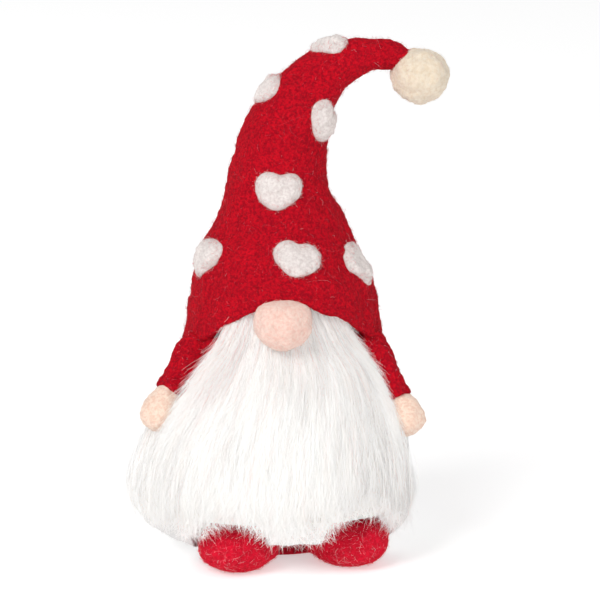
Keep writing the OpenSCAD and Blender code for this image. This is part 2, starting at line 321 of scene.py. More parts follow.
def new_group(name, **inputs):
    """An empty shader node group with the named inputs and outputs Colour and Height, and the
    sockets of its input and output nodes. An underscore in a name stands for a space."""
    tree = bpy.data.node_groups.new(name, "ShaderNodeTree")
    for label, value in inputs.items():
        kind = "NodeSocketColor" if isinstance(value, tuple) else "NodeSocketFloat"
        socket = tree.interface.new_socket(label.replace("_", " "), in_out="INPUT", socket_type=kind)
        socket.default_value = value
    tree.interface.new_socket("Colour", in_out="OUTPUT", socket_type="NodeSocketColor")
    tree.interface.new_socket("Height", in_out="OUTPUT", socket_type="NodeSocketFloat")
    given, result = (tree.nodes.new(f"NodeGroup{end}") for end in ("Input", "Output"))
    return tree, given.outputs, result.inputs


def object_place(tree, stretch=1.0):
    """Object coordinates in millimetres, with patterns pulled longer upwards by stretch."""
    place = add_node(tree, "ShaderNodeTexCoord").outputs["Object"]
    scale = (1000, 1000, 1000 / stretch)
    return add_node(tree, "ShaderNodeMapping", Vector=place, Scale=scale).outputs[0]


def add_node(tree, kind, settings=None, **values):
    """A node with its settings made, and its inputs set or linked: i0 is the first input, and an
    underscore in a name stands for a space."""
    node = tree.nodes.new(kind)
    for key, value in (settings or {}).items():
        setattr(node, key, value)
    for key, value in values.items():
        socket = node.inputs[key.replace("_", " ")] if not key.startswith("i") \
            else node.inputs[int(key[1:])]
        if isinstance(value, bpy.types.NodeSocket):
            tree.links.new(value, socket)
        else:
            socket.default_value = value
    return node


def math_node(tree, operation, a, b=0.0, clamp=False):
    """The result of a Math node on a and b."""
    return add_node(tree, "ShaderNodeMath", {"operation": operation, "use_clamp": clamp}, i0=a,
        i1=b).outputs[0]


def mix_colour(tree, factor, a, b):
    """The result of a colour Mix node."""
    return add_node(tree, "ShaderNodeMix", {"data_type": "RGBA"}, i0=factor, i6=a, i7=b).outputs[2]


def ramp(tree, value, low, high, to_low=0.0, to_high=1.0):
    """A value mapped smoothly from low..high to to_low..to_high."""
    return add_node(tree, "ShaderNodeMapRange", {"interpolation_type": "SMOOTHSTEP"}, i0=value, i1=low,
        i2=high, i3=to_low, i4=to_high).outputs[0]


def noise(tree, vector, scale, detail=2.0, distortion=0.0):
    """A noise pattern's value."""
    return add_node(tree, "ShaderNodeTexNoise", Vector=vector, Scale=scale, Detail=detail,
        Distortion=distortion).outputs["Fac"]


def hair_lines(tree, vector, scale, width, distortion):
    """Thin curly lines, one where the noise crosses its middle value."""
    value = noise(tree, vector, scale, 1.0, distortion)
    away = math_node(tree, "ABSOLUTE", math_node(tree, "SUBTRACT", value, 0.5))
    return ramp(tree, away, 0.0, width, 1.0, 0.0)


def felted_wool():
    """Felted Wool: mottled colour with curly lines of lighter and darker fibre, and the height
    of the fibres for a Bump node. Sizes are in millimetres."""
    tree, given, result = new_group("Felted Wool", Colour=(1, 1, 1, 1), Deep_Colour=(0.5, 0.5, 0.5, 1),
        Stray_Colour=(1, 1, 1, 1), Mottle_Size=2.0, Fibre_Size=0.8, Stray_Amount=0.3)
    times, plus, less, over = (partial(math_node, tree, operation) for operation in ("MULTIPLY", "ADD",
        "SUBTRACT", "DIVIDE"))
    mm = object_place(tree)
    mottle_scale = over(1.0, given["Mottle Size"])
    fibre_scale = over(1.0, given["Fibre Size"])
    mottle = ramp(tree, noise(tree, mm, mottle_scale, 4.0, 0.4), 0.36, 0.62)
    patches = ramp(tree, noise(tree, mm, times(mottle_scale, 0.16), 2.0), 0.3, 0.7)
    grain = noise(tree, mm, times(fibre_scale, 1.8), 3.0, 1.2)
    shifted = add_node(tree, "ShaderNodeMapping", Vector=mm, Location=(31, -17, 53)).outputs[0]
    dark_lines = hair_lines(tree, mm, fibre_scale, 0.035, 1.6)
    light_lines = hair_lines(tree, shifted, times(fibre_scale, 0.7), 0.016, 2.2)
    amount = plus(times(mottle, 0.62), times(ramp(tree, grain, 0.35, 0.65), 0.38))
    amount = less(amount, times(dark_lines, 0.25), True)
    base = mix_colour(tree, amount, given["Deep Colour"], given["Colour"])
    base = mix_colour(tree, times(patches, 0.22), base, given["Deep Colour"])
    stray = times(light_lines, given["Stray Amount"])
    base = mix_colour(tree, stray, base, given["Stray Colour"])
    height = less(plus(times(grain, 0.6), times(light_lines, 0.22)), times(dark_lines, 0.2))
    tree.links.new(base, result["Colour"])
    tree.links.new(height, result["Height"])
    return tree


def combed_wool():
    """Combed Wool: long fine streaks running down the locks, with their height. Streak Width
    is in millimetres."""
    tree, given, result = new_group("Combed Wool", Colour=(1, 1, 1, 1), Shade_Colour=(0.7, 0.7, 0.7, 1),
        Streak_Width=0.4)
    times = partial(math_node, tree, "MULTIPLY")
    mm = object_place(tree, 1000 / 70)
    scale = math_node(tree, "DIVIDE", 1.0, given["Streak Width"])
    fine = noise(tree, mm, scale, 3.0, 0.6)
    broad = noise(tree, mm, times(scale, 0.14), 2.0, 0.5)
    amount = math_node(tree, "ADD", times(ramp(tree, fine, 0.3, 0.7), 0.6),
        times(ramp(tree, broad, 0.3, 0.7), 0.4))
    streaks = mix_colour(tree, amount, given["Shade Colour"], given["Colour"])
    tree.links.new(streaks, result["Colour"])
    tree.links.new(fine, result["Height"])
    return tree


WOOL_GROUPS = {"Felted Wool": felted_wool, "Combed Wool": combed_wool}


def set_inputs(node, **values):
    """Sets a node's inputs, where an underscore in a name stands for a space."""
    for key, value in values.items():
        node.inputs[key.replace("_", " ")].default_value = value


def principled(name, **values):
    """A new material, and its Principled shader with the values set."""
    mat = bpy.data.materials.new(name)
    mat.use_nodes = True
    shader = mat.node_tree.nodes["Principled BSDF"]
    set_inputs(shader, **values)
    return mat, shader


def surface_material(name, group, bump_mm, roughness=0.95, sheen=0.35, **values):
    """A material fed by a wool group, whose own inputs are the values. The group is built by
    its function the first time it is asked for."""
    mat, shader = principled(name, Roughness=roughness, Specular_IOR_Level=0.08, Sheen_Weight=sheen,
        Sheen_Roughness=0.6, Sheen_Tint=(1, 1, 1, 1))
    tree = mat.node_tree
    group = bpy.data.node_groups.get(group) or WOOL_GROUPS[group]()
    wool = add_node(tree, "ShaderNodeGroup", {"node_tree": group}, **values)
    bump = add_node(tree, "ShaderNodeBump", Strength=0.9, Distance=bump_mm * MM,
        Height=wool.outputs["Height"])
    tree.links.new(wool.outputs["Colour"], shader.inputs["Base Color"])
    tree.links.new(bump.outputs["Normal"], shader.inputs["Normal"])
    return mat


def fibre_material(name, colour, sheen=0.1, glow=0.0):
    """A plain matt material for loose fibres, each too fine to carry a pattern. A little glow is
    painted light, standing in for the light that passes through and between pale hairs."""
    return principled(name, Base_Color=colour, Roughness=0.9, Specular_IOR_Level=0.1, Sheen_Weight=sheen,
        Emission_Color=colour, Emission_Strength=glow)[0]


def rgba(colour):
    """A colour with an alpha of one, from three numbers or from the name of a colour setting."""
    if isinstance(colour, str):
        colour = getattr(bpy.context.scene.gnome_colours, colour)
    return (*colour, 1)


def felt(name):
    """The felt of that name, made from its row of FELTS the first time it is asked for."""
    if name not in bpy.data.materials:
        main, deep, stray, mottle, fibre, amount, bump, sheen = FELTS[name]
        surface_material(name, "Felted Wool", bump, sheen=sheen, Colour=rgba(main), Deep_Colour=rgba(deep),
            Stray_Colour=rgba(stray), Mottle_Size=mottle, Fibre_Size=fibre, Stray_Amount=amount)
    return bpy.data.materials[name]


def fibres(names):
    """The fibre materials of those names, each made the first time it is asked for."""
    return [bpy.data.materials.get(name) or fibre_material(name, rgba(FIBRES[name])) for name in names]


# Each felt's main, deep and stray colours, its mottle and fibre sizes (mm), how much stray fibre
# shows, the height of its bumps (mm) and its sheen.
FELTS = {"Red felt": ("red", "red_deep", "stray_pink", 0.9, 0.55, 0.08, 0.22, 0),
    "Dark red felt": ((0.7, 0.008, 0.03), (0.2, 0.003, 0.012), "stray_pink", 1.3, 0.7, 0.1, 0.22, 0),
    "Foot felt": ("foot_red", (0.5, 0.005, 0.02), (0.9, 0.3, 0.34), 1.3, 0.7, 0.2, 0.22, 0),
    "White felt": ("white", (0.69, 0.685, 0.675), (0.88, 0.875, 0.865), 1.3, 0.7, 0.5, 0.12, 0.35),
    "Heart felt": ("heart", "heart_deep", (0.93, 0.91, 0.89), 0.8, 0.5, 0.5, 0.2, 0.1),
    "Nose felt": ("nose_skin", (0.87, 0.52, 0.43), (0.98, 0.84, 0.77), 1, 0.6, 0.5, 0.26, 0.35),
    "Ball felt": ("cream", (0.72, 0.58, 0.42), (0.95, 0.9, 0.8), 1.1, 0.6, 0.45, 0.18, 0.35),
    "Hand felt": ("hand_skin", (0.78, 0.5, 0.38), (0.97, 0.86, 0.76), 1, 0.6, 0.4, 0.15, 0.35),
    "Core wool": ((0.8, 0.74, 0.6), (0.6, 0.53, 0.4), (0.9, 0.86, 0.76), 2.5, 1.1, 0.5, 0.4, 0.35),
    "Strip felt": ((0.82, 0.81, 0.79), (0.66, 0.65, 0.63), (0.92, 0.92, 0.9), 1.3, 0.7, 0.3, 0.15, 0.35)}
FIBRES = {"Red fibre": "red", "Deep red fibre": "red_deep", "Pink fibre": "stray_pink",
    "Pale fibre": (0.8, 0.52, 0.54), "White fibre": (0.86, 0.855, 0.845), "Shade fibre": (0.77, 0.76, 0.75),
    "Foot fibre": "foot_red", "Foot pink": (0.85, 0.2, 0.25), "Foot white": (0.88, 0.72, 0.72),
    "Heart fibre": (0.87, 0.84, 0.82), "Heart pink fibre": (0.8, 0.5, 0.5),
    "Nose fibre": (0.93, 0.68, 0.58), "Nose pale fibre": (0.95, 0.84, 0.78),
    "Cream fibre": (0.9, 0.83, 0.72), "Cream pale fibre": (0.94, 0.91, 0.86),
    "Hand fibre": (0.92, 0.76, 0.64), "Hand pale fibre": (0.95, 0.88, 0.82)}
RED_FIBRES = ("Red fibre", "Deep red fibre", "Pink fibre", "Pale fibre")
# The beard's hairs: colour and glow of each kind; the glow is painted light, weaker in the grey and pink
# kinds.
BEARD_HAIRS = {"Beard hair": ("beard", 0.22), "Beard warm hair": ((0.94, 0.905, 0.87), 0.22),
    "Beard grey hair": ((0.78, 0.77, 0.765), 0.12), "Beard pink hair": ((0.88, 0.66, 0.65), 0.1)}


# Settings


def colour_setting(name, description, default):
    """A colour property."""
    return FloatVectorProperty(name=name, description=description, default=default, subtype="COLOR", size=3,
        min=0, max=1)


def length_setting(name, description, default, low, high):
    """A length property, given here in millimetres and kept in metres."""
    return FloatProperty(name=name, description=description, default=default * MM, min=low * MM,
        max=high * MM, unit="LENGTH", precision=6)


class GnomeSizes(PropertyGroup):
    """Sizes and counts that a maker would change."""

    hat_lumps: length_setting("Hat lumps", "Height of the soft lumps in the hat's felt", 0.24, 0, 1.5)
    hair_length: length_setting("Loose hair", "Length of the longest loose fibres on the hat, less 2 mm", 6,
        1, 12)
    hair_thick: length_setting("Fibre thickness", "Thickness of a loose fibre", 0.075, 0.03, 0.2)
    beard_hair_thick: length_setting("Beard fibre thickness", "Thickness of a hair in the beard", 0.115,
        0.05, 0.3)
    beard_locks: IntProperty(name="Beard locks",
        description="Number of locks that the beard is combed into", default=420, min=50, max=1500)
    beard_hairs: IntProperty(name="Beard hairs", description="Number of hairs in the beard", default=18800,
        min=1000, max=40000)


class GnomeColours(PropertyGroup):
    """Colours of the wools."""

    red: colour_setting("Hat red", "Main colour of the hat's felt", (0.68, 0.0045, 0.016))
    red_deep: colour_setting("Deep red", "Darker mottling in the red felt", (0.26, 0.0015, 0.01))
    foot_red: colour_setting("Foot red", "Brighter red of the feet", (0.8, 0.007, 0.034))
    stray_pink: colour_setting("Stray pink", "Pale fibres caught in the red", (0.62, 0.14, 0.18))
    white: colour_setting("Felt white", "White felt of the body", (0.79, 0.785, 0.775))
    heart: colour_setting("Heart white", "Off-white of the hearts", (0.88, 0.825, 0.79))
    heart_deep: colour_setting("Heart shade", "Pinkish mottling of the hearts", (0.66, 0.58, 0.56))
    cream: colour_setting("Cream", "Wool of the ball on the hat", (0.85, 0.755, 0.62))
    nose_skin: colour_setting("Nose", "Wool of the nose", (0.97, 0.76, 0.665))
    hand_skin: colour_setting("Hands", "Wool of the hands", (0.94, 0.775, 0.645))
    beard: colour_setting("Beard", "Combed wool of the beard", (0.95, 0.95, 0.94))


def size_mm(name):
    """A length setting in millimetres."""
    return getattr(bpy.context.scene.gnome_sizes, name) / MM


# Pieces


def finish_piece(obj, body, node=None, materials=()):
    """Gives a piece its materials, hides the imported parts that it stands for, and hangs it on the empty
    of the body that it rides on.
    """
    for mat in materials:
        obj.data.materials.append(mat)
    if node:
        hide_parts(*([node] if isinstance(node, str) else node))
    if body:
        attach(obj, body)
    return obj


def add_fuzz(name, grid, body, slot, kinds, shares, count, seed, length, lift, curl, hug=0.0, thick=None,
        keep=None, steps=2):
    """Loose fibres over a grid, with shares of them of each kind. Without a body, the object is
    returned unattached."""
    rng = np.random.default_rng(seed)
    at, normal = scatter(grid, count, rng, keep)
    paths = fuzz_paths(at, normal, rng, length, lift, curl, hug, steps)
    paths[..., 2] = np.maximum(paths[..., 2], 0.15)
    slots = rng.choice(len(kinds), count, p=shares)
    radii = taper(count, steps, thick or size_mm("hair_thick"), rng)
    return finish_piece(strands(name, paths, radii, slots, rng), body, materials=fibres(kinds))


def felt_piece(name, grid, body, slot, kind, fill, *fuzz, node=None, rings=slice(None), **more):
    """A padded piece of one kind of felt, which stands for its node, and the loose fibres on
    those of its rings, which add_fuzz makes from the rest."""
    finish_piece(skin(f"{name}_felt", grid), body, node or name, [felt(kind)])
    add_fuzz(f"{name}_fuzz", grid[rings], body, slot, *fuzz, **more)


# Shapes


def round_angles(columns):
    """Angles of the points of a ring, in radians from 0."""
    return np.arange(columns) * TAU / columns


def revolve(profile, columns, centre=(0, 0, 0)):
    """Rings of a profile of radius and height turned round an upright axis at centre."""
    a = round_angles(columns)
    r, z = profile[:, :1], profile[:, 1:]
    ring = np.stack([r * np.sin(a), -r * np.cos(a), z + 0 * a], -1)
    return ring + np.array(centre)


def ball(centre, radii, rows=64, columns=128):
    """An ellipsoid: rings of latitude about the upright axis."""
    a = np.linspace(0.5 / rows, 1 - 0.5 / rows, rows) * math.pi
    profile = np.stack([np.sin(a), -np.cos(a)], 1)
    return revolve(profile, columns) * np.array(radii) + np.array(centre)


class Spine:
    """The middle line of the hat, as tables of place and radius against distance along it."""

    rows = smooth(HAT_ROWS, 400)
    s = distances(rows[:, :3])
    way = unit(np.gradient(rows[:, :3], s, axis=0))


def table(columns, s):
    """Values of the spine's columns at distances s."""
    return sample(columns, Spine.s, s)


def hat_point(phi, s, h):
    """Point at angle phi (radians, 0 in front) and distance s along the hat, h outside it. The
    radius is the spine's, plus a bump at the front over the nose."""
    row, way = table(Spine.rows, s), unit(table(Spine.way, s))
    across = unit(np.cross([0.0, 1.0, 0.0], way))
    back = np.cross(way, across)
    deg = np.abs(np.degrees(phi))
    bump = 2.8 * (1 - ease(15, 60, deg)) * (1 - ease(15, 40, s))
    out = np.sin(phi)[..., None] * across - np.cos(phi)[..., None] * back
    return row[..., :3] + (row[..., 3] + bump + h)[..., None] * out


def brim_edge(phi):
    """Height of the brim's edge above its lowest level: an arch over the nose, which hangs a
    little lower just to the right of it."""
    deg = np.degrees(phi)
    return (14.5 * (1 - ease(5, 72, np.abs(deg))) + 3.5 * np.maximum(0, np.cos(phi))
        - 2.4 * np.exp(-((deg - 17) / 13) ** 2))


def hat_grid(columns=260, rows=190):
    """The hat: rings from the roof of its hollow down the inside, round the soft brim and up
    the outside to the tip."""
    phi = round_angles(columns)[None] - math.pi
    edge = brim_edge(phi)
    end, low, t = Spine.s[-1] - 0.5, 46.0, HAT_THICK
    roof = ((0.6, 2.0), (0.35, 1.5), (0.12, 0.8))
    rings = [hat_point(phi, low + k + 0 * phi, -t - g * table(Spine.rows, low)[..., 3]) for g, k in roof]
    for share in np.linspace(1, 0.03, 22):
        rings.append(hat_point(phi, edge + share * (low - edge), -t + 0 * phi))
    for a in np.linspace(0.1, 0.9, 7) * math.pi:
        rings.append(hat_point(phi, edge + 0.2 - 1.7 * np.sin(a),
            -t / 2 - (t / 2 + 0.25) * np.cos(a) + 0 * phi))
    for share in np.linspace(0.004, 1, rows):
        rings.append(hat_point(phi, edge + share * (end - edge), 0 * phi))
    close = np.array([[1.2, 0.97], [2.2, 0.85], [3.0, 0.6], [3.4, 0.3]])
    for up, size in close:
        p = hat_point(phi, end + 0 * phi, -(1 - size) * table(Spine.rows, end)[..., 3] + 0 * phi)
        rings.append(p + up * table(Spine.way, end))
    return np.concatenate(rings, 0)


def heart_grid(at, seed, notch=0.0, width=17.3, rows=22, columns=96):
    """A puffy heart on the hat: its outline's radius comes from HEART_RADIUS, is no less than
    the notch's and is made smooth by a running mean. It is drawn in to the middle ring by ring,
    with a height of 3 (1 - p^2.3)^0.58 at share p, and follows the hat's lumps."""
    rng = np.random.default_rng(seed)
    a = round_angles(columns)
    deg, share = zip(*HEART_RADIUS)
    radius = np.interp(180 - np.abs(np.degrees(a) - 180), deg, share)
    radius = np.maximum(radius, notch) * width
    for _ in range(8):
        radius = sum(np.roll(radius, k) for k in (2, 1, 0, -1, -2)) / 5
    waves = ((2, 0.03), (3, 0.02), (6, 0.008))
    radius = radius * (1 + sum(high * np.sin(k * a + rng.uniform(0, 6)) for k, high in waves))
    x, y = radius * np.sin(a), radius * np.cos(a)
    phi0, s0, turn = math.radians(at[0]), at[1], math.radians(at[2])
    u, v = x * math.cos(turn) + y * math.sin(turn), y * math.cos(turn) - x * math.sin(turn)
    share = np.concatenate([[0.5, 0.9, 1.0], np.sin(np.linspace(1, 0.02, rows) * math.pi / 2)])
    height = np.concatenate([[-0.9, -0.8, -0.3], 3.0 * (1 - share[3:] ** 2.3) ** 0.58 - 0.1])
    row = table(Spine.rows, np.array(s0))
    phi = phi0 + share[:, None] * u / row[3]
    up = hat_point(phi, np.full_like(phi, s0 + 4), 0 * phi)
    down = hat_point(phi, np.full_like(phi, s0 - 4), 0 * phi)
    stretch = np.linalg.norm(up - down, axis=-1) / 8
    s = s0 + share[:, None] * v / stretch
    grid = hat_point(phi, s, height[:, None] + 0 * phi)
    out = unit(grid - hat_point(phi, s, height[:, None] - 1))
    soft = np.clip((height[:, None] + 0.1) / 1.5, 0, 1)
    push = 0.2 * lumps(grid, 5, seed + 5) + 0.1 * lumps(grid, 1.7, seed + 6)
    under = felt_height(hat_point(phi, s, 0 * phi), HAT_SEED, size_mm("hat_lumps"), HAT_FINE, *HAT_SIZES)
    return grid + out * (push * soft + under)[..., None]


def along_arm(profile, columns, side, way):
    """Rings of a profile of radius and distance from the shoulder, about the arm's axis."""
    way = unit(np.array(way, float))
    across = unit(np.cross(way, [0.0, 1.0, 0.0]))
    other = np.cross(way, across)
    a = round_angles(columns)
    ring = np.cos(a)[:, None] * across + np.sin(a)[:, None] * other
    grid = profile[:, None, :1] * ring[None] + profile[:, None, 1:] * way + np.array(SHOULDER)
    return grid * np.array([side, 1, 1])


def body_grid():
    """The body: its profile turned round, pushed back where the front is hollowed out above the
    feet, and pushed out in soft steps where it sags at its lower left and right."""
    grid = revolve(even(smooth(BODY_PROFILE, 300), 130)[1:-1], 200, (BODY_X, 0, 0))
    x, y, z = grid[..., 0], grid[..., 1], grid[..., 2]
    inside = (1 - ease(7.5, 10, z)) * ease(-14, -10, x) * (1 - ease(12, 16, x))
    for middle, wide, high in FOOT_RIM:
        far = np.hypot((x - middle) / wide, (z - FOOT_MIDDLE) / high)
        inside = np.maximum(inside, 1 - ease(0.96, 1.06, far))
    grid[..., 1] = np.where(y < SOLE_BACK, y + (SOLE_BACK - y) * inside, y)
    left, right = ease(0, 30, -x), ease(10, 35, x)
    grid[..., 0] += (-2.2 * np.exp(-((z - 16) / 8) ** 2) * left
        + (3.0 * np.exp(-((z - 7) / 5.5) ** 2) - 1.1 * np.exp(-((z - 25) / 9) ** 2)) * right)
    return felted(grid, 11, 0.28, 0.07, 12, 3)


def pad_grid():
    """The pad: a flat round profile turned, thicker towards its front edge, flat underneath."""
    grid = revolve(even(np.array(PAD_PROFILE), 44), 200, (0, 5, 0))
    grid[..., 2] *= 1 + 1.9 * ease(-6, -15, grid[..., 1])
    return np.where(grid[..., 2:] < 0.3, grid, felted(grid, 21, 0.1, 0.08))


def collar_grid():
    """The roll round the neck: a tube on an arc of a circle, closed at both ends."""
    span = np.radians(np.linspace(35, 326, 110))
    radius, height, thick = COLLAR
    centre = np.stack([radius * np.sin(span), -radius * np.cos(span), height + 0 * span], 1)
    out = unit(centre * [1, 1, 0])
    t = np.linspace(0, 1, len(span))
    size = thick * np.sqrt(np.clip(1 - np.abs(2 * t - 1) ** 14, 0.02, 1))
    a = round_angles(52) - math.pi
    ring = np.cos(a)[None, :, None] * out[:, None] + np.sin(a)[None, :, None] * np.array([0, 0, 1.0])
    return felted(centre[:, None] + size[:, None, None] * ring, 31, 0.3, 0.12)


def foot_grid(side, at):
    """A foot: an egg on its side, narrower at the toes, turned out by 37 degrees and cut flat
    where it stands."""
    a = np.linspace(0.012, 0.988, 60) * math.pi
    flat = np.maximum(8.7 - 9.3 * np.cos(a), 0.03)
    b = round_angles(104)
    wide = np.sin(a)[:, None] ** 0.85
    x = 11.9 * (1 - 0.17 * np.sin(b)) * wide * np.cos(b)
    y = 17.0 * wide * np.sin(b)
    turn = math.radians(37 * side)
    c, s = math.cos(turn), math.sin(turn)
    grid = np.stack([x * c - y * s + at[0], x * s + y * c + at[1], flat[:, None] + 0 * x], -1)
    grid = grid + (felted(grid, 40 + side, 0.3, 0.1, 8) - grid) * ease(0.2, 4, grid[..., 2:])
    grid[..., 2] = np.maximum(grid[..., 2], 0.02)
    return grid


def beard_angles(height):
    """The beard's left and right edges, in radians from the front, at a height."""
    z, left, right = zip(*BEARD_EDGES)
    return np.radians(np.interp(height, z, left)), np.radians(np.interp(height, z, right))


BEARD = even(smooth(BEARD_LINE, 300), 400)
BEARD_S = distances(BEARD)
BEARD_OUT = unit(np.stack([-np.gradient(BEARD[:, 1]), np.gradient(BEARD[:, 0])], 1))


def beard_point(u, s, h):
    """Point on the beard: u runs from -1 at its left edge to 1 at its right, s is the distance
    down from its top and h the height off its surface."""
    place = sample(BEARD, BEARD_S, s)
    left, right = beard_angles(place[..., 1])
    phi = left + (u + 1) / 2 * (right - left)
    r, z = np.moveaxis(place + h[..., None] * sample(BEARD_OUT, BEARD_S, s), -1, 0)
    return np.stack([BODY_X + r * np.sin(phi), -r * np.cos(phi), z], -1)


def beard_end(u):
    """How far down the beard hangs at u: lowest between the feet, higher on top of them."""
    left, right = beard_angles(18)
    x = BODY_X + 50.5 * np.sin(left + (u + 1) / 2 * (right - left))
    z = 16.2 - 1.2 * ease(0.7, 1.0, np.abs(u))
    for middle, wide, high in FOOT_RIM:
        share = np.sqrt(np.clip(1 - ((x - middle) / (wide + 0.5)) ** 2, 0, 1))
        z = np.maximum(z, FOOT_MIDDLE + 2.7 + high * share)
    return np.interp(-z, -BEARD[:, 1], BEARD_S)


def hair_kinds(rng, paths):
    """Each hair's kind: whiter on top of the beard and in its middle. Painted shade makes it greyer
    where it lies deep, to the right, at the far left and under the brim, and pinker and warmer
    under the brim and by the nose; a few hairs of each kind fall anywhere, as mixed tones."""
    x, y, z = paths[:, 3].T
    depth = np.interp(z, BEARD[::-1, 1], BEARD[::-1, 0]) - np.hypot(x - BODY_X, y)
    # Painted shade: grey where deep, to the right, far left and under the brim; pink and warm under it.
    grey = (0.12 + 0.42 * ease(4, 34, x) + 0.45 * ease(0.0, 1.1, depth) + 0.25 * ease(58, 76, z)
        + 0.22 * ease(-27, -38, x))
    pink = (0.015 + 0.16 * ease(60, 84, z) * (1 - 0.6 * ease(-5, 15, x))
        + 0.22 * ease(52, 66, z) * ease(-14, -24, x))
    warm = 0.2 + 0.1 * ease(60, 80, z)
    draw = rng.random(len(x))
    return np.select([draw < grey, draw < grey + pink, draw < grey + pink + warm], [2, 3, 1], 0)


def underlayer_grid():
    """The matted wool under the hairs: the beard's surface, sunk in, with a back."""
    rows, columns = 60, 80
    s = np.linspace(1, BEARD_S[-1] - 6, rows)[:, None]
    u = np.linspace(-0.97, 0.97, columns)[None]
    s = np.minimum(s, beard_end(u) - 6)
    front = beard_point(u, s, -1.1 + 0 * u)
    back = beard_point(u[:, ::-1], s[:, ::-1], -3.4 + 0 * u)
    return np.concatenate([front, back], 1)


def combed_hairs(rng, count):
    """Paths of the beard's hairs, and how thick each is. Every hair belongs to a lock, starts
    near its root and is drawn in towards the lock's own line on the way down, with the lock's
    slow waves and a little of its own."""
    locks, steps = bpy.context.scene.gnome_sizes.beard_locks, 7
    lock_u = rng.uniform(-1.0, 1.0, locks)
    top = rng.random(locks) < 0.3
    lock_s = np.where(top, rng.uniform(0, 9, locks), rng.uniform(6, 74, locks))
    # Some low locks lie beyond the edges, ever fewer, and hide where the beard ends.
    beyond = (rng.random(locks) < 0.18) & (lock_s > 51)
    past = 1 + 0.3 * rng.random(locks) ** 1.4
    lock_u = np.where(beyond, np.where(lock_u < 0.3, -past, 0.3 * past + 0.7), lock_u)
    lock_len = rng.uniform(24, 46, locks)
    lock_wave = rng.normal(size=(locks, 2)) * [0.02, 0.03]
    lock_turn = rng.uniform(0, TAU, (locks, 2))
    which = rng.integers(0, locks, count)
    spread = rng.normal(size=count) * 0.065
    slant = rng.normal(size=(count, 1)) * 0.05
    s0 = np.clip(lock_s[which] + rng.normal(size=count) * 3.0, 0, None)
    length = lock_len[which] * rng.uniform(0.7, 1.15, count)
    u0 = lock_u[which]
    end = np.minimum(s0 + length, beard_end(u0) + rng.normal(size=count) * 1.6)
    start = np.maximum(np.minimum(s0, end - 9), 0)
    t = np.linspace(0, 1, steps)[None]
    s = start[:, None] + (end - start)[:, None] * t
    lw, lt = lock_wave[which], lock_turn[which]
    u = (u0[:, None] + spread[:, None] * (1 - 0.45 * t ** 1.2) + lw[:, :1] * np.sin(3.2 * t + lt[:, :1]) * t
        + lw[:, 1:] * np.sin(7.0 * t + lt[:, 1:]) * t * 0.6 + slant * t
        + (rng.normal(size=(count, 1)) * 0.015) * np.sin(9 * t + 6 * rng.random((count, 1))))
    h = (rng.uniform(-0.9, 0.5, count)[:, None] + 0.9 * np.sin(math.pi * t) * rng.random((count, 1))
        + 1.6 * rng.random((count, 1)) ** 2 * t ** 2 + 0.5 * np.sin(lt[:, :1] + 5 * t) * t)
    paths = beard_point(u, s, h)
    curl = rng.normal(size=(count, 1, 3)) * [1.3, 1.0, 0.8]
    at_end = ease(-8, 0, end - beard_end(u0))[:, None, None]
    paths = paths + curl * (t ** 4)[..., None] * (0.35 + 0.9 * at_end)
    paths[..., 2] = np.maximum(paths[..., 2], 0.4)
    return paths, rng.uniform(0.8, 1.2, count)


def stray_hairs(rng, count, steps):
    """Paths of hairs at the beard's edges, straying over the sleeves in slow waves."""
    t = np.linspace(0, 1, steps)[None]
    side = np.where(rng.random(count) < 0.5, -1.0, 1.0)
    u0 = side * rng.uniform(0.84, 1.03, count)
    s0 = rng.uniform(2, 46, count)
    length = rng.uniform(8, 25, count)
    out = side * rng.uniform(0.02, 0.2, count) * rng.random(count) * ease(62, 30, s0)
    u = u0[:, None] + out[:, None] * t ** 1.4
    s = s0[:, None] + length[:, None] * t
    h = rng.uniform(-0.4, 0.9, count)[:, None] + rng.uniform(0.2, 2.2, count)[:, None] * t ** 1.5
    paths = beard_point(u, s, h)
    t = t[..., None]
    paths += rng.normal(size=(count, 1, 3)) * 0.8 * t ** 3
    paths += (rng.normal(size=(count, 1, 3)) * 0.35 * t * np.sin(8 * t + rng.uniform(0, 6, (count, 1, 1))))
    return paths


def fringe_hairs(rng, count, steps):
    """Paths of short hairs at the beard's end, each with one bend, curling on the feet."""
    t = np.linspace(0, 1, steps)[None, :, None]
    u = rng.uniform(-0.76, 0.97, count)
    s = beard_end(u) + rng.uniform(-4.6, 2.3, count)
    root = beard_point(u, s, rng.uniform(-0.3, 1.4, count))
    way = unit(rng.normal(size=(count, 3)) * [1.0, 0.55, 0.7] + [0, -0.75, -1.15])
    bend = rng.normal(size=(count, 3)) * [1.0, 0.5, 0.8]
    size = rng.uniform(1.2, 4.2, count)[:, None, None]
    return root[:, None] + size * (way[:, None] * t + 0.4 * bend[:, None] * t ** 2 * (1 - 0.45 * t))


# Operators


def look(obj, place, way):
    """Puts a light or the camera at a place, facing along way."""
    obj.location, obj.rotation_euler = place, way.to_track_quat("-Z", "Y").to_euler()


